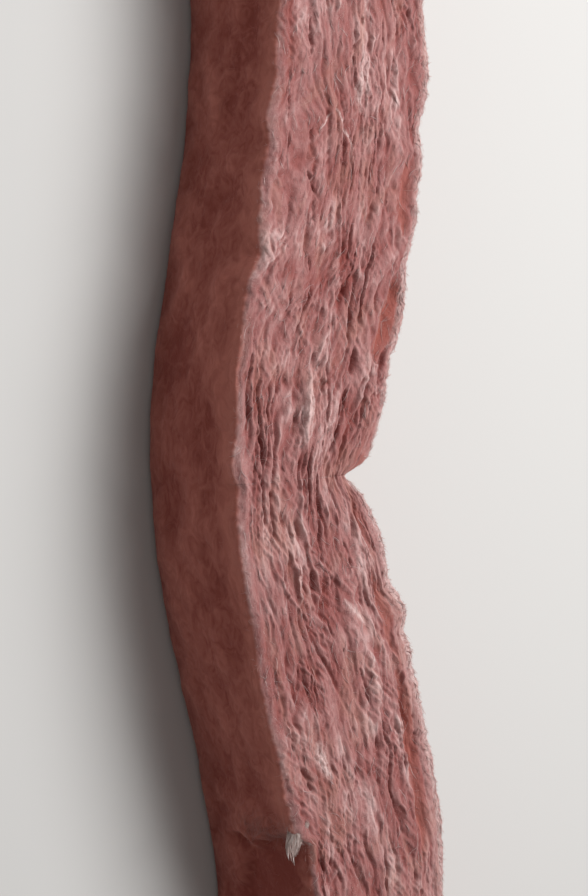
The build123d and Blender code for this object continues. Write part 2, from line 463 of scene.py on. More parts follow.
# What each part of the ridged face adds to how far it stands out, in metres, and to its paleness
# The paleness that gaps and grooves take away is painted shade, and what lips add is painted highlight
FACE_PARTS = {
    "swells": (0.0028, 0.12),
    "patches": (0, 0.30),
    "flecks": (0, 0.18),
    "rope_backs": (0.0022, 0),
    "cord_backs": (0.0012, 0),
    "rope_lips": (0.0010, 0.16),
    "cord_lips": (0.0008, 0.13),
    "strings": (0.0010, 0.08),
    "hems": (0.0013, 0.19),
    "wisps": (0.0013, 0.18),
    "threads": (0.0005, 0.07),
    "rope_gaps": (-0.0027, -0.27),
    "cord_gaps": (-0.0015, -0.20),
    "deep_grooves": (-0.0009, -0.10),
    "slim_grooves": (-0.0010, -0.12),
    "fine_grooves": (-0.0006, -0.07),
}
FACE_SET_BACK = 0.0034
FACE_PALENESS = 0.48


def crossed(across, along, high, lean, seed):
    """Wisps that lie aslant of the layers, in patches."""
    turned = across * cos(lean) + along * sin(lean)
    ahead = along * cos(lean) - across * sin(lean)
    shown = gentle(-0.10, 0.40, strand(across, along, high, 0.030, 0.040, seed + 1))
    return shown * strand(turned, ahead, high, *WISP_SIZE, seed)


def layered(across, along, high):
    """The relief of a cut face: how far each place stands out, and how pale it is, from 0 to 1."""

    def wave(kind, over=across):
        """One of the waves, laid over the face."""
        return strand(over, along, high, *WAVES[kind])

    def grooves(kind, start):
        """Grooves where a wave rises past its start."""
        return np.clip(wave(kind, wander) - start, 0, 0.5) / 0.5

    leant = gentle(*LEAN_SETS_IN, along) - gentle(*LEAN_DIES_OUT, along)
    leant = leant * (1 - 0.6 * gentle(0.0, LEAN_REACH, np.abs(across - LEAN_MIDDLE)))
    wander = across + sum(reach * wave(kind) for kind, reach in SWAYS.items()) - LEAN_SHIFT * leant
    busy = gentle(-0.35, 0.35, wave("busy_places"))
    parted = 0.60 + 0.90 * hump(along, *OPEN_PLACE)
    frayed = hump(along, *FRAYED_PLACE)
    fraying = wave("fraying")
    rope = wave("ropes", wander) + 0.10 * fraying
    cord = wave("cords", wander) + 0.14 * fraying
    hems = np.clip(1 - np.abs(wave("hems", wander)) / 0.32, 0, 1)
    wisps = (1 + 0.5 * frayed) * crossed(across, along, high, WISP_LEANS[0], 37)
    wisps += (1 - 0.5 * frayed) * crossed(across, along, high, WISP_LEANS[1], 39)
    parts = {
        "swells": wave("swells"),
        "patches": np.maximum(-0.3, wave("patches", wander)),
        "flecks": wave("flecks", wander),
        "rope_backs": np.minimum(1, np.abs(rope) / 0.5),
        "cord_backs": np.minimum(1, np.abs(cord) / 0.45),
        "rope_lips": hump(np.abs(rope), 0.22, 0.10) * gentle(-0.2, 0.4, wave("rope_lip_places")),
        "cord_lips": hump(np.abs(cord), 0.30, 0.14) * gentle(-0.2, 0.4, wave("cord_lip_places")),
        "rope_gaps": parted * hump(rope, 0, 0.12) * gentle(-0.15, 0.45, wave("rope_gap_places")),
        "cord_gaps": parted * hump(cord, 0, 0.15) * gentle(-0.15, 0.45, wave("cord_gap_places")),
        "strings": np.minimum(1, np.abs(wave("strings", wander)) / 0.40) - 0.70,
        "hems": hems * gentle(-0.15, 0.35, wave("hem_places")),
        "wisps": wisps,
        "threads": wave("threads", wander),
        "deep_grooves": grooves("deep_grooves", 0.30),
        "slim_grooves": grooves("slim_grooves", 0.18),
        "fine_grooves": grooves("fine_grooves", 0.12),
    }
    # Paleness: painted shade in gaps and grooves, painted highlight on lips, and the wool's own uneven
    # tone
    rise = FACE_PALENESS + sum(pale * parts[kind] for kind, (stand, pale) in FACE_PARTS.items())
    parts["strings"] = parts["strings"] * busy
    parts["deep_grooves"] = parts["deep_grooves"] * (1 - 0.5 * busy)
    parts["slim_grooves"] = parts["slim_grooves"] * (0.4 + 0.9 * busy)
    parts["fine_grooves"] = parts["fine_grooves"] * busy
    out = sum(stand * parts[kind] for kind, (stand, pale) in FACE_PARTS.items()) - FACE_SET_BACK
    return out, rise


def felted(across, along, high):
    """The relief of a smooth side: matted wool in soft lumps."""
    place = across, along, high
    return uneven(SIDE_LUMPS, *place) + np.abs(uneven(SIDE_KNOTS, *place)) + uneven(SIDE_GRAIN, *place)


def smooth_rim(across, along, high, ragged):
    """How much of the smooth rim there is, which runs along the upper edge of the creased side."""
    width = UPPER_RIM + (LOWER_RIM - UPPER_RIM) * gentle(-RIM_CHANGE, RIM_CHANGE, -along)
    width = width + RIM_BULGE * hump(along, *RIM_BULGE_PLACE) + uneven(RIM_WANDER, along, across, high)
    begin, finish = RIM_INNER_EDGE
    return (across > 0) * (1 - gentle(width + begin, width + finish, ragged))


def frosted_and_highlit(across, along, ragged, rim, crests, troughs):
    """How far pale loose fibres hide the wool, with painted highlight on crests and on the creased
    side's edge, from 0 to 1.
    """
    creased_side = LOWER_EDGE_FROST_AND_HIGHLIGHT - UPPER_EDGE_FROST_AND_HIGHLIGHT
    creased_side = UPPER_EDGE_FROST_AND_HIGHLIGHT + creased_side * gentle(0.0, EDGE_FROST_CHANGE, -along)
    edge = np.where(across > 0, creased_side, FAR_EDGE_FROST) * (1 - gentle(*EDGE_FROST_WIDTH, ragged))
    frost_and_highlight = marked(FROSTS, across, along) + CREST_FROST_AND_HIGHLIGHT * crests + edge
    frost_and_highlight += RIM_FROST * rim * (1 - gentle(*RIM_FROST_DEPTHS, troughs))
    return np.clip(frost_and_highlight, 0, 1)


def wool_relief(across, along, high, cut):
    """How far the wool stands out at each place, and what the finish needs to know of it."""
    layers, rise = layered(across, along, high)
    felt = felted(across, along, high)
    side_gap = WOOL_THICKNESS / 2 - np.abs(across)
    from_top = high - WOOL_DEPTH
    ragged = side_gap + uneven(EDGE_RAGS, along, high, across)
    rim = cut * smooth_rim(across, along, high, ragged)
    far_edge = (across < 0) * (1 - gentle(*FAR_EDGE, side_gap))
    lips = (across > 0) * (1 - gentle(*LIP_ACROSS, side_gap)) * (1 - gentle(*LIP_ALONG, np.abs(along)))
    crests = marked(CRESTS, across, along)
    hollows = marked(HOLLOWS, across, along) * (1 + uneven(HOLLOW_CHANGE, along, across, high))
    troughs = marked(TROUGHS, across, along, leaning=True)
    troughs *= 1 + uneven(TROUGH_CHANGE, along, across, high)
    smooth = np.maximum(SMOOTHNESS["rim"] * rim, SMOOTHNESS["lips"] * lips)
    smooth = np.maximum(smooth, SMOOTHNESS["troughs"] * gentle(0.0, SMOOTH_TROUGH_DEPTH, troughs))
    cut_face = layers * (1 - LEVELLING * smooth) * (1 - FAR_LEVELLING * far_edge)
    cut_face += crests - hollows - troughs - RIM_FALL * rim
    side_face = felt * (1 - SIDE_LEVELLING * gentle(*SIDE_LEVEL_BAND, from_top))
    relief = cut * cut_face + (1 - cut) * side_face
    rise = rise * (1 - smooth) + SMOOTH_TONE * smooth + CREST_HIGHLIGHT * crests - HOLLOW_SHADE * hollows
    # Painted light: the side grows paler towards its upper edge
    side_rise = SIDE_TONE + SIDE_LUMP_TONE * felt + SIDE_EDGE_LIGHT * gentle(*SIDE_LIGHT_BAND, from_top)
    tone = cut * np.clip(rise, 0, 1) + (1 - cut) * np.clip(side_rise, 0, 1)
    pockets = sum(share * gentle(*depths, troughs) for share, depths in POCKET_WARMTH_AND_SHADE)
    warm = np.maximum(pockets, LIP_WARMTH * lips * gentle(*LIP_WARMTH_RELIEF, layers))
    frost_and_highlight = frosted_and_highlit(across, along, ragged, rim, crests, troughs)
    return relief, {"tone": tone, "warm": cut * warm, "frost_and_highlight": cut * frost_and_highlight}


def arris_push(across, along, high):
    """How far the upper edges of the sides stand out, as they do unevenly where the wool was torn."""
    side_gap = WOOL_THICKNESS / 2 - np.abs(across)
    sides = [np.interp(along, *np.array(edge).T) for edge in (LEFT_ARRIS, RIGHT_ARRIS)]
    from_top = high - WOOL_DEPTH
    broad = gentle(-ARRIS_FALL, 0, from_top) * gentle(-ARRIS_REACH, 0, -side_gap)
    close = gentle(-SCALLOP_REACH, 0, from_top) * gentle(-SCALLOP_REACH, 0, -side_gap)
    scallop = uneven(SCALLOPS, along, across, high) + SCALLOP_STAND
    return np.sign(across) * (np.where(across < 0, *sides) * broad + scallop * close)


def notch_depth(along):
    """How far the crease bites into the side, at each distance along: two lips that meet in a tip."""
    lip_radius = (NOTCH_MOUTH**2 + NOTCH_DEPTH**2) / (2 * NOTCH_DEPTH)
    inside = np.clip(NOTCH_MOUTH - np.abs(along), 0, None)
    return lip_radius - np.sqrt(lip_radius**2 - inside**2)


def squeezed(across, along):
    """How far the crease pushes each place across: its tip is sharp only at the side that it bites."""
    nearness = np.clip(across / WOOL_THICKNESS + 0.5, 0, 1)
    blunt = NOTCH_SOFTNESS * (1 - nearness)
    return notch_depth(np.hypot(along, blunt)) * nearness**SQUEEZE_POWER, nearness**SQUEEZE_POWER


def torn_depth(across, along, high):
    """How far the side is set back where the strip of its outer layer is missing."""
    ragged = uneven(TEAR_RAGS, across, along, high)
    down = -along + ragged + TEAR_SLANT * (high - WOOL_DEPTH)
    inside = gentle(TEAR_START, TEAR_START + TEAR_EDGE, down)
    inside *= gentle(-TEAR_END, TEAR_END_EDGE - TEAR_END, -down)
    inside *= gentle(TEAR_FLOOR - TEAR_FLOOR_EDGE, TEAR_FLOOR + TEAR_FLOOR_EDGE, high + ragged)
    return TEAR_DEPTH * inside * gentle(-TEAR_REACH, 0, -across - WOOL_THICKNESS / 2)


def wool_rows(first, last, count, outer):
    """The rows of one length of wool: along, inset, shrink, and tilt of the face towards the end."""
    body = [(s, 0.0, 0.0, 0.0) for s in np.linspace(first, last - outer * END_CORNER, count)]
    closed = [(first, 0.0, 1.0, 1.0)]
    if not outer:
        return closed + body + [(last, 0.0, 1.0, 1.0)]
    for n in range(1, CORNER_ROWS + 1):
        angle = 0.5 * pi * n / CORNER_ROWS
        inset = END_CORNER * (1 - cos(angle))
        body.append((last - outer * END_CORNER * (1 - sin(angle)), inset, 0.0, sin(angle)))
    for n in range(1, CAP_ROWS + 1):
        body.append((last, END_CORNER, n / CAP_ROWS, 1.0))
    return closed + body


def wool_surface(first, last, rows, outer):
    """The surface of one length of the batt, as grids of its points, which way each faces and where
    each lay before the batt bowed, and the facts that the finish needs of each."""
    along, inset, shrink, tilt = np.array(wool_rows(first, last, rows, outer)).T[:, :, None]
    across, high, out_across, out_high = [column[None, :] for column in wool_section()]
    across = (across - inset * out_across) * (1 - shrink)
    high = (high - inset * out_high - WOOL_DEPTH / 2) * (1 - shrink) + WOOL_DEPTH / 2
    along = along + 0 * across
    tilt = tilt + 0 * across
    level = 1 - tilt
    cut = np.clip(gentle(*CUT_FACING, np.maximum(out_high, 0) * level) + tilt, 0, 1)
    relief, facts = wool_relief(across, along, high, cut)
    relief = relief * gentle(0.0, FLOOR_LEVELLING, high)
    relief = relief * np.where(out_high < UNDERSIDE_FACING, tilt, 1)
    torn = torn_depth(across, along, high)
    # The torn strip is darkened as painted shade in its recess
    facts["tone"] = facts["tone"] - TEAR_SHADE * torn / TEAR_DEPTH
    creased_end = gentle(*FACE_END, high - WOOL_DEPTH + FACE_END_RAGS * facts["tone"])
    # On the shaded side the side's darker colour comes up over the edge earlier, as painted shade
    shaded_end = cut + SHADED_FACE_RAGS * facts["tone"] - SHADED_FACE_DELAY
    shaded_end = gentle(*SHADED_FACE_END, shaded_end)
    facts["face"] = np.where(across < 0, shaded_end, np.maximum(cut, creased_end))
    push, squeeze = squeezed(across, along)
    dip = NOTCH_DIP * np.exp(-np.abs(along) / NOTCH_DIP_REACH) * squeeze * gentle(0.0, WOOL_DEPTH, high)
    over = across + relief * out_across * level - push + torn
    over = over + arris_push(across, along, high)
    ahead = relief * tilt * outer
    line_x, line_y, heading = wool_line(along)
    turn_cos, turn_sin = np.cos(heading), np.sin(heading)
    x = crease_x + line_x + over * turn_cos + ahead * turn_sin
    y = line_y - over * turn_sin + ahead * turn_cos
    z = np.maximum(high + relief * out_high * level - dip, 0.0)
    out_level = out_across * level
    out_x = out_level * turn_cos + tilt * outer * turn_sin
    out_y = tilt * outer * turn_cos - out_level * turn_sin
    surface = {
        "points": np.stack([x, y, z], axis=-1),
        "outward": np.stack([out_x, out_y, out_high * level + 0 * across], axis=-1),
        "laid": np.stack([across, along, high], axis=-1),
        "cut": cut,
    }
    return surface, facts


def wool_mesh(name, surface, facts):
    """The closed mesh of a surface. Its points carry where they were laid, and the facts."""
    rows, columns = surface["cut"].shape
    sheet = bmesh.new()
    bmesh.ops.create_grid(sheet, x_segments=columns - 1, y_segments=rows - 1, size=0.5)
    mesh = bpy.data.meshes.new(name)
    sheet.to_mesh(mesh)
    sheet.free()
    places = np.empty(3 * len(mesh.vertices))
    mesh.vertices.foreach_get("co", places)
    places = places.reshape(-1, 3)
    column = np.rint((places[:, 0] + 0.5) * (columns - 1)).astype(int)
    row = np.rint((places[:, 1] + 0.5) * (rows - 1)).astype(int)
    mesh.vertices.foreach_set("co", surface["points"][row, column].ravel())
    laid = mesh.attributes.new("laid", "FLOAT_VECTOR", "POINT")
    laid.data.foreach_set("vector", surface["laid"][row, column].ravel())
    for fact, values in facts.items():
        carried = mesh.attributes.new(fact, "FLOAT", "POINT")
        carried.data.foreach_set("value", values[row, column].ravel())
    closing = bmesh.new()
    closing.from_mesh(mesh)
    bmesh.ops.remove_doubles(closing, verts=closing.verts, dist=1e-6)
    bmesh.ops.recalc_face_normals(closing, faces=closing.faces)
    for face in closing.faces:
        face.smooth = True
    for edge in closing.edges:
        edge.smooth = edge.calc_face_angle(0) < SHARP_ANGLE
    closing.to_mesh(mesh)
    closing.free()
    return mesh


def wool_length(name, first, last, rows, outer=0):
    """One length of the batt, from first to last along it. Outer is 1 or -1 where it has a cut end."""
    surface, facts = wool_surface(first, last, rows, outer)
    piece = bpy.data.objects.new(name, wool_mesh(name, surface, facts))
    bpy.context.scene.collection.objects.link(piece)
    return piece, {kind: grid[1:-1] for kind, grid in surface.items()}


wool = {
    "above": wool_length("wool_above_crease", 0.0, MIDDLE_REACH, MIDDLE_ROWS),
    "below": wool_length("wool_below_crease", 0.0, -MIDDLE_REACH, MIDDLE_ROWS),
    "upper": wool_length("wool_upper_end", MIDDLE_REACH, WOOL_LENGTH / 2, END_ROWS, outer=1),
    "lower": wool_length("wool_lower_end", -MIDDLE_REACH, -WOOL_LENGTH / 2, END_ROWS, outer=-1),
}

DEEP_PINK = (0.235, 0.060, 0.052, 1)
ROSE = (0.295, 0.110, 0.103, 1)
MID_PINK = (0.396, 0.193, 0.183, 1)
PALE_PINK = (0.590, 0.382, 0.366, 1)
TAN_PINK = (0.440, 0.230, 0.180, 1)
FROST = (0.730, 0.550, 0.525, 1)
# Salmon of the wool inside, darkened as painted shade for the deep troughs
SALMON = (0.304, 0.080, 0.060, 1)
# The smooth sides' deeper pink, made darker and redder as painted shade
SIDE_DEEP_SHADED = (0.232, 0.052, 0.039, 1)
SIDE_PINK_SHADED = (0.455, 0.152, 0.118, 1)
# The clouds that the finish is mixed from, each as its cycles per metre across, along and up, then
# its detail and its distortion
GRAINS = {
    "fibres": ((560, 240, 240), 4.0, 1.0),
    "crossing": ((330, 300, 300), 4.0, 1.8),
    "mats": ((95, 65, 85), 8.0, 1.6),
    "clouds": ((26, 14, 18), 2.0, 0.4),
    "tans": ((38, 17, 20), 3.0, 0.8),
    "streaks": ((230, 32, 32), 3.0, 0.6),
}
MOTTLE_STRENGTH = 0.27
CROSSING_STRENGTH = 0.26
CLOUD_STRENGTH = 0.28
# The deep end of these colours lands in gaps, grooves and hollows, where it is painted shade
SHADES = [(0.0, DEEP_PINK), (0.35, ROSE), (0.65, MID_PINK), (1.0, PALE_PINK)]
# Where each shows, as the values between which it comes in, and how far it does at most
TAN_RANGE = (0.50, 0.72, 0.38)
SIDE_RANGE = (0.36, 0.78)
STREAK_RANGE = (0.58, 0.76, 0.70)
STREAK_HEIGHTS = (0.55, 0.95)
FROST_RANGE = (0.25, 0.60, 0.90)
WARMTH = 0.85
WOOL_SHADER = {
    "Roughness": 0.95,
    "Subsurface Weight": 0.2,
    "Subsurface Radius": (1.0, 0.80, 0.75),
    "Subsurface Scale": 0.003,
    "Sheen Weight": 0.25,
    "Sheen Roughness": 0.5,
    "Sheen Tint": (1.0, 0.60, 0.55, 1),
    "Specular IOR Level": 0.1,
}
WOOL_BUMP = {"Strength": 0.5, "Distance": 0.0016}


def set_sockets(node, values):
    """Sets a node's own sockets."""
    for socket, value in values.items():
        node.inputs[socket].default_value = value


def wool_finish():
    """Pale pink on the ridges, deeper in the grooves as painted shade, and warmer and softer on the
    smooth sides, whose darker red is partly painted shade.
    """
    finish = bpy.data.materials.new("pink_wool")
    finish.use_nodes = True
    nodes, links = finish.node_tree.nodes, finish.node_tree.links

    def fact(name):
        """One of the facts that the wool's points carry."""
        node = nodes.new("ShaderNodeAttribute")
        node.attribute_name = name
        return node

    def grain(scale, detail, distortion):
        """A cloud stretched along the layers, by cycles per metre across, along and up."""
        stretch = nodes.new("ShaderNodeMapping")
        stretch.inputs["Scale"].default_value = scale
        links.new(laid.outputs["Vector"], stretch.inputs["Vector"])
        cloud = nodes.new("ShaderNodeTexNoise")
        cloud.inputs["Scale"].default_value = 1.0
        cloud.inputs["Detail"].default_value = detail
        cloud.inputs["Distortion"].default_value = distortion
        links.new(stretch.outputs["Vector"], cloud.inputs["Vector"])
        return cloud.outputs["Fac"]

    def blend(factor, low, high, kind="FLOAT"):
        """A mix of two numbers or colours."""
        node = nodes.new("ShaderNodeMix")
        node.data_type = kind
        links.new(factor, node.inputs["Factor"])
        first, second = (2, 3) if kind == "FLOAT" else (6, 7)
        for socket, value in ((first, low), (second, high)):
            if isinstance(value, (float, tuple)):
                node.inputs[socket].default_value = value
            else:
                links.new(value, node.inputs[socket])
        return node.outputs[0 if kind == "FLOAT" else 2]

    def stepped(value, low, high, top=1.0):
        """Rises from 0 to top as the value goes from low to high."""
        node = nodes.new("ShaderNodeMapRange")
        node.inputs["From Min"].default_value = low
        node.inputs["From Max"].default_value = high
        node.inputs["To Max"].default_value = top
        links.new(value, node.inputs["Value"])
        return node.outputs["Result"]

    def reckon(operation, first, second):
        """One sum or product of two numbers."""
        node = nodes.new("ShaderNodeMath")
        node.operation = operation
        for socket, value in zip(node.inputs, (first, second)):
            if isinstance(value, float):
                socket.default_value = value
            else:
                links.new(value, socket)
        return node.outputs[0]

    laid = fact("laid")
    face = fact("face").outputs["Fac"]
    tone = fact("tone").outputs["Fac"]
    grains = {name: grain(*kind) for name, kind in GRAINS.items()}
    mottle = blend(face, grains["mats"], grains["fibres"])
    height = tone
    for cloud, strength in (
        (mottle, MOTTLE_STRENGTH),
        (grains["crossing"], CROSSING_STRENGTH),
        (grains["clouds"], CLOUD_STRENGTH),
    ):
        height = reckon("ADD", height, reckon("MULTIPLY", reckon("SUBTRACT", cloud, 0.5), strength))
    ramp = nodes.new("ShaderNodeValToRGB")
    while len(ramp.color_ramp.elements) < len(SHADES):
        ramp.color_ramp.elements.new(0.5)
    for element, (place, colour) in zip(ramp.color_ramp.elements, SHADES):
        element.position, element.color = place, colour
    links.new(height, ramp.inputs["Fac"])
    colour = blend(stepped(grains["tans"], *TAN_RANGE), ramp.outputs["Color"], TAN_PINK, "RGBA")
    depths = reckon("ADD", reckon("MULTIPLY", grains["mats"], 0.6), reckon("MULTIPLY", tone, 0.5))
    side_colour = blend(stepped(depths, *SIDE_RANGE), SIDE_DEEP_SHADED, SIDE_PINK_SHADED, "RGBA")
    colour = blend(face, side_colour, colour, "RGBA")
    colour = blend(reckon("MULTIPLY", fact("warm").outputs["Fac"], WARMTH), colour, SALMON, "RGBA")
    streaks = stepped(grains["streaks"], *STREAK_RANGE)
    streaks = reckon("MULTIPLY", streaks, stepped(height, *STREAK_HEIGHTS))
    patches = stepped(grains["fibres"], *FROST_RANGE)
    patches = reckon("MULTIPLY", fact("frost_and_highlight").outputs["Fac"], patches)
    white = reckon("MAXIMUM", reckon("MULTIPLY", streaks, face), patches)
    colour = blend(white, colour, FROST, "RGBA")
    shader = nodes["Principled BSDF"]
    set_sockets(shader, WOOL_SHADER)
    links.new(colour, shader.inputs["Base Color"])
    bump = nodes.new("ShaderNodeBump")
    set_sockets(bump, WOOL_BUMP)
    relief = reckon("ADD", mottle, reckon("MULTIPLY", grains["crossing"], 0.6))
    links.new(relief, bump.inputs["Height"])
    links.new(bump.outputs["Normal"], shader.inputs["Normal"])
    return finish


pink_wool = wool_finish()
for piece, surface in wool.values():
    piece.data.materials.append(pink_wool)
    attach(piece, "root")
    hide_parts("glass_wool_batt")


# Loose fibres: wisps of the layers' own edges that have worked free, and single glass fibres. They
# follow the layers on the cut faces, stand off the upper edges of the sides, lie every way on the
# felted sides, and hang over the torn strip.
SHARES = {"above": 0.36, "below": 0.36, "upper": 0.14, "lower": 0.14}
ONE_PLACE = {"torn_fringe": "below", "torn_tuft": "tuft", "tuft_hairs": "tuft"}
FIBRE_SEED = 77
# Of each kind, lift is how high the tips rise, spread and curl are how far a fibre turns aside and
# bends, and spans are the straight runs that it is made of
FIBRE_FACTS = "count", "length", "radius", "flat", "lift", "spread", "curl", "spans", "finish"
LOOSE = {
    "cut_face_wisps": (1700, (0.008, 0.024), 0.00017, 2.8, 0.0010, 0.36, 0.40, 7, "crest_fibre"),
    "cut_face_lint": (8000, (0.004, 0.012), 0.00011, 1.0, 0.0014, 0.90, 0.90, 2, "arris_fibre"),
    "arris_fuzz": (6200, (0.0025, 0.0070), 0.00010, 1.0, 0.0036, 1.20, 0.80, 2, "arris_fibre"),
    "arris_spikes": (1000, (0.005, 0.011), 0.00021, 2.0, 0.0042, 0.60, 0.40, 4, "arris_fibre"),
    "side_nap": (1500, (0.005, 0.014), 0.00010, 1.0, 0.0012, 1.60, 0.80, 2, "side_fibre"),
    "torn_fringe": (420, (0.004, 0.011), 0.00011, 1.6, 0.0040, 0.50, 0.50, 4, "side_fibre"),
    "torn_tuft": (340, (0.016, 0.046), 0.00046, 2.6, 0.0016, 0.10, 0.25, 7, "tuft_fibre"),
    "tuft_hairs": (520, (0.010, 0.026), 0.00011, 1.2, 0.0026, 0.28, 0.40, 5, "tuft_fibre"),
}
FIBRE_COLOURS = {
    "crest_fibre": (MID_PINK, (0.72, 0.50, 0.48, 1)),
    "arris_fibre": (MID_PINK, (0.82, 0.62, 0.57, 1)),
    "tuft_fibre": ((0.54, 0.35, 0.31, 1), (0.86, 0.68, 0.62, 1)),
    "side_fibre": (SIDE_PINK_SHADED, MID_PINK),
}
FIBRE_SHADER = {
    "Roughness": 0.8,
    "Subsurface Weight": 0.6,
    "Subsurface Radius": (1.0, 0.85, 0.80),
    "Subsurface Scale": 0.002,
    "Specular IOR Level": 0.2,
}
FUZZ_REACH = 0.011
TUFT_START = 0.262  # below the crease, hidden in the wool
TUFT_LENGTH = 0.084
TUFT_HEIGHT = 0.1390
TUFT_WIDTHS = (0.021, 0.003)
TUFT_ACROSS = (-0.0655, -0.0850)
TUFT_LEAN = 0.55
TUFT_TURN = 1.6  # how far the leaf curls from one edge to the other
TUFT_SUNK = 0.006  # how deep its root lies in the wool
TUFT_DROOP = 0.004
ROOT_SUNK = 0.0002
LEAST_STEP = 0.0002  # keeps fibres from racing where the wool's points lie close


def fibre_shape(spans):
    """A three-sided stick of unit radius along Z from 0 to 1, as its points and its faces."""
    shape = bmesh.new()
    bmesh.ops.create_cone(shape, cap_ends=True, segments=3, radius1=1, radius2=1, depth=1)
    bmesh.ops.translate(shape, verts=shape.verts, vec=(0, 0, 0.5))
    rails = [e for e in shape.edges if abs(e.verts[0].co.z - e.verts[1].co.z) > 0.5]
    bmesh.ops.subdivide_edges(shape, edges=rails, cuts=spans - 1)
    bmesh.ops.recalc_face_normals(shape, faces=shape.faces)
    shape.verts.index_update()
    points = np.array([v.co[:] for v in shape.verts])
    faces = [[v.index for v in face.verts] for face in shape.faces]
    shape.free()
    return points, faces


def tuft_bed():
    """The surface that the tuft's strands follow: a leaf that hangs from the edge of the torn strip."""
    down, up = np.meshgrid(np.linspace(0, 1, 90), np.linspace(-0.5, 0.5, 24), indexing="ij")
    width = TUFT_WIDTHS[0] + (TUFT_WIDTHS[1] - TUFT_WIDTHS[0]) * gentle(0.2, 1.0, down)
    along = -TUFT_START - TUFT_LENGTH * down
    lean = TUFT_LEAN - TUFT_TURN * up
    middle = TUFT_ACROSS[0] + (TUFT_ACROSS[1] - TUFT_ACROSS[0]) * gentle(0.1, 0.72, down)
    across = middle - width * (np.sin(lean) - sin(TUFT_LEAN)) / TUFT_TURN
    sunk = TUFT_SUNK * (1 - gentle(0.0, 0.40, down))
    high = TUFT_HEIGHT + width * (np.cos(lean) - 1) / TUFT_TURN - TUFT_DROOP * down - sunk
    line_x, line_y, heading = wool_line(along)
    x = crease_x + line_x + across * np.cos(heading)
    y = line_y - across * np.sin(heading)
    outward = np.stack([-np.sin(lean) * np.cos(heading), 0 * up, np.cos(lean)], axis=-1)
    laid = np.stack([across, along, high], axis=-1)
    return {"points": np.stack([x, y, high], axis=-1), "outward": outward, "laid": laid, "cut": 0 * up}


def scatter(surface, weight, count, draw):
    """Picks places on a surface, more of them where the weight is higher, as rows and columns."""
    points = surface["points"]
    across = points[:-1, 1:] - points[:-1, :-1]
    ahead = points[1:, :-1] - points[:-1, :-1]
    area = np.linalg.norm(np.cross(across, ahead), axis=-1) * weight[:-1, :-1]
    chance = np.cumsum(area.ravel())
    cell = np.searchsorted(chance, draw.uniform(0, chance[-1], count))
    rows, columns = np.unravel_index(np.minimum(cell, area.size - 1), area.shape)
    return rows + draw.uniform(size=count), columns + draw.uniform(size=count)


def on_surface(grid, rows, columns):
    """The grid's values at fractional rows and columns."""
    rows = np.clip(rows, 0, grid.shape[0] - 1.001)
    columns = np.clip(columns, 0, grid.shape[1] - 1.001)
    row, column = rows.astype(int), columns.astype(int)
    down, over = (rows - row)[..., None], (columns - column)[..., None]
    near = grid[row, column] * (1 - over) + grid[row, column + 1] * over
    far = grid[row + 1, column] * (1 - over) + grid[row + 1, column + 1] * over
    return near * (1 - down) + far * down


def lay_fibres(surface, weight, count, kind, draw, one_way=False):
    """Fibres that follow a surface: the points of each, the faces of one, and a tone for each."""
    spans = kind["spans"]
    points, faces = fibre_shape(spans)
    rows, columns = scatter(surface, weight, count, draw)
    here = on_surface(surface["points"], rows, columns)
    next_row = on_surface(surface["points"], rows + 1, columns)
    next_column = on_surface(surface["points"], rows, columns + 1)
    row_step = np.linalg.norm(next_row - here, axis=-1) + LEAST_STEP
    column_step = np.linalg.norm(next_column - here, axis=-1) + LEAST_STEP
    length = draw.uniform(*kind["length"], count)
    angle = draw.normal(0, kind["spread"], count)
    if not one_way:
        angle += pi * draw.integers(0, 2, count)
    curl = draw.normal(0, kind["curl"], count)
    t = np.linspace(0, 1, spans + 1)[None, :]
    turned = angle[:, None] + curl[:, None] * (t - 0.5)
    ahead = length[:, None] * t * np.cos(turned) / row_step[:, None]
    over = length[:, None] * t * np.sin(turned) / column_step[:, None]
    centre = on_surface(surface["points"], rows[:, None] + ahead, columns[:, None] + over)
    outward = on_surface(surface["outward"], rows[:, None] + ahead, columns[:, None] + over)
    rises = draw.uniform(0.1, 1.0, count)[:, None] * kind["lift"]
    centre = centre + outward * (rises * t**1.3 - ROOT_SUNK)[..., None]
    tangent = np.gradient(centre, axis=1)
    tangent /= np.linalg.norm(tangent, axis=-1, keepdims=True) + 1e-12
    beside = np.cross(tangent, outward)
    beside /= np.linalg.norm(beside, axis=-1, keepdims=True) + 1e-12
    above = np.cross(beside, tangent)
    taper = np.minimum(1.0, 0.35 + 3 * t) * (1.0 - 0.85 * t**2)
    thick = kind["radius"] * draw.uniform(0.7, 1.4, count)[:, None] * taper
    ring = np.rint(points[:, 2] * spans).astype(int)
    body = centre[:, ring]
    thick = thick[:, ring][..., None]
    body = body + beside[:, ring] * (points[:, 0] * kind["flat"])[None, :, None] * thick
    body = body + above[:, ring] * points[:, 1][None, :, None] * thick
    tone = draw.uniform(0, 1, count)[:, None] * (0.35 + 0.65 * points[:, 2])[None, :]
    return body, faces, tone


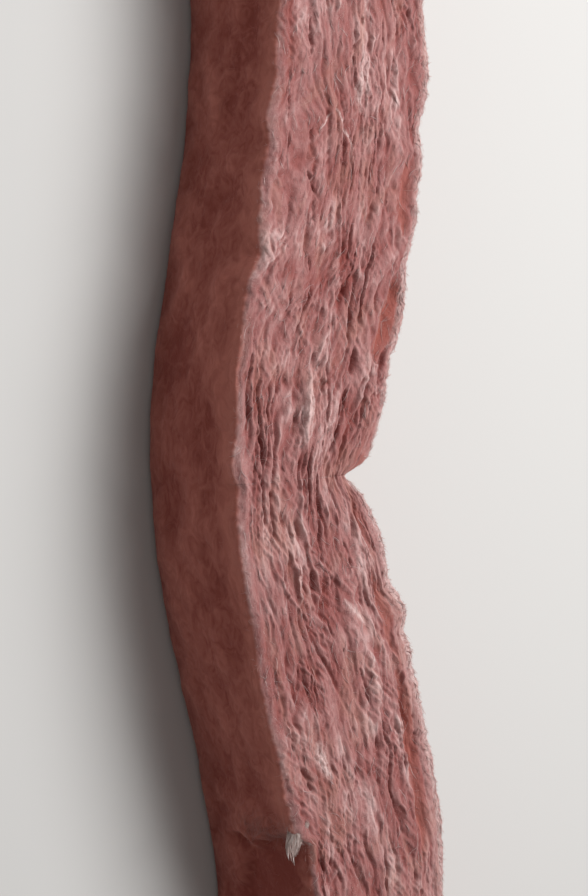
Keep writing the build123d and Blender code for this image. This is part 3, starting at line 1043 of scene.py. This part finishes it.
def joined_fibres(name, batches, finish):
    """Many fibres as one mesh, none of them below the floor."""
    bodies = np.concatenate([body for body, faces, tone in batches])
    tones = np.concatenate([tone for body, faces, tone in batches])
    faces = batches[0][1]
    count, each = bodies.shape[:2]
    corners = np.array([index for face in faces for index in face])
    starts = np.cumsum([0] + [len(face) for face in faces[:-1]])
    mesh = bpy.data.meshes.new(name)
    mesh.vertices.add(count * each)
    mesh.loops.add(count * len(corners))
    mesh.polygons.add(count * len(faces))
    mesh.vertices.foreach_set("co", np.maximum(bodies, [-inf, -inf, 0.0]).ravel())
    order = np.arange(count)[:, None]
    mesh.loops.foreach_set("vertex_index", (order * each + corners).ravel().astype(np.int32))
    mesh.polygons.foreach_set("loop_start", (order * len(corners) + starts).ravel().astype(np.int32))
    mesh.update(calc_edges=True)
    mesh.validate()
    carried = mesh.attributes.new("tone", "FLOAT", "POINT")
    carried.data.foreach_set("value", tones.ravel())
    mesh.materials.append(finish)
    piece = bpy.data.objects.new(name, mesh)
    bpy.context.scene.collection.objects.link(piece)
    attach(piece, "root")
    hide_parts("glass_wool_batt")
    return piece


def fibre_finish(name, deep, pale):
    """Glass fibres, from the colour of the wool to nearly white."""
    finish = bpy.data.materials.new(name)
    finish.use_nodes = True
    nodes, links = finish.node_tree.nodes, finish.node_tree.links
    tone = nodes.new("ShaderNodeAttribute")
    tone.attribute_name = "tone"
    ramp = nodes.new("ShaderNodeValToRGB")
    ramp.color_ramp.elements[0].color = deep
    ramp.color_ramp.elements[1].color = pale
    links.new(tone.outputs["Fac"], ramp.inputs["Fac"])
    shader = nodes["Principled BSDF"]
    set_sockets(shader, FIBRE_SHADER)
    links.new(ramp.outputs["Color"], shader.inputs["Base Color"])
    return finish


def fibre_weight(name, surface):
    """Where each kind of loose fibre grows on a surface."""
    across, along, high = np.moveaxis(surface["laid"], -1, 0)
    side_gap = WOOL_THICKNESS / 2 - np.abs(across)
    if name.startswith("cut_face"):
        return surface["cut"] * gentle(0.004, 0.010, side_gap + 0.02 * (across < 0))
    if name.startswith("arris"):
        shaded = np.where(across < 0, 0.12 if name == "arris_fuzz" else 0.0, 1.0)
        near_edge = gentle(-FUZZ_REACH, -0.002, high - WOOL_DEPTH)
        return shaded * near_edge * gentle(-FUZZ_REACH, -0.002, -side_gap)
    if name in ("torn_tuft", "tuft_hairs"):
        return 1 - gentle(0.012, 0.036, -along - TUFT_START)
    if name == "torn_fringe":
        edge = hump(along, 0.004 - TEAR_START, 0.012)
        return edge * (across < -WOOL_THICKNESS / 2) * gentle(TEAR_FLOOR, TEAR_FLOOR + 0.02, high)
    return (1 - surface["cut"]) * (high > 0.004)


finishes = {name: fibre_finish(name, *colours) for name, colours in FIBRE_COLOURS.items()}
surfaces = {part: surface for part, (piece, surface) in wool.items()}
surfaces["tuft"] = tuft_bed()
draw = np.random.default_rng(FIBRE_SEED)
for name, facts in LOOSE.items():
    kind = dict(zip(FIBRE_FACTS, facts))
    shares = {ONE_PLACE[name]: 1.0} if name in ONE_PLACE else SHARES
    batches = []
    for part, share in shares.items():
        surface = surfaces[part]
        weight = fibre_weight(name, surface)
        hanging = name in ONE_PLACE or (name == "arris_spikes" and part in ("below", "lower"))
        count = round(kind["count"] * share)
        batches.append(lay_fibres(surface, weight, count, kind, draw, one_way=hanging))
    joined_fibres(name, batches, finishes[kind["finish"]])


# The studio: a plain pale floor under the batt, a large soft lamp above its creased side, and an
# even pale sky that fills the shade.
FLOOR_SIZE = 60.0
FLOOR_COLOUR = (0.62, 0.61, 0.595, 1)
LAMP_PLACE = Vector((1.25, 1.0, 2.6))
LAMP_SIZE = 2.0
LAMP_POWER = 120.0
SKY_LIGHT = 0.20
SKY_COLOUR = (1.0, 0.985, 0.97, 1)


def lay_floor():
    """The floor, which is not part of the object."""
    shape = bmesh.new()
    bmesh.ops.create_grid(shape, x_segments=1, y_segments=1, size=FLOOR_SIZE / 2)
    mesh = bpy.data.meshes.new("floor")
    shape.to_mesh(mesh)
    shape.free()
    floor = bpy.data.objects.new("floor", mesh)
    finish = bpy.data.materials.new("pale_floor")
    finish.use_nodes = True
    shader = finish.node_tree.nodes["Principled BSDF"]
    shader.inputs["Base Color"].default_value = FLOOR_COLOUR
    shader.inputs["Roughness"].default_value = 0.9
    mesh.materials.append(finish)
    bpy.context.scene.collection.objects.link(floor)


def light_studio():
    """One soft lamp and an even sky."""
    lamp_data = bpy.data.lights.new("soft_lamp", "AREA")
    lamp_data.size = LAMP_SIZE
    lamp_data.energy = LAMP_POWER
    lamp = bpy.data.objects.new("soft_lamp", lamp_data)
    lamp.location = LAMP_PLACE
    lamp.rotation_mode = "QUATERNION"
    lamp.rotation_quaternion = (-LAMP_PLACE).to_track_quat("-Z", "Y")
    bpy.context.scene.collection.objects.link(lamp)
    sky = bpy.data.worlds.new("studio_sky")
    sky.use_nodes = True
    background = sky.node_tree.nodes["Background"]
    background.inputs["Color"].default_value = SKY_COLOUR
    background.inputs["Strength"].default_value = SKY_LIGHT
    bpy.context.scene.world = sky
    bpy.context.scene.view_settings.view_transform = "Standard"


lay_floor()
light_studio()
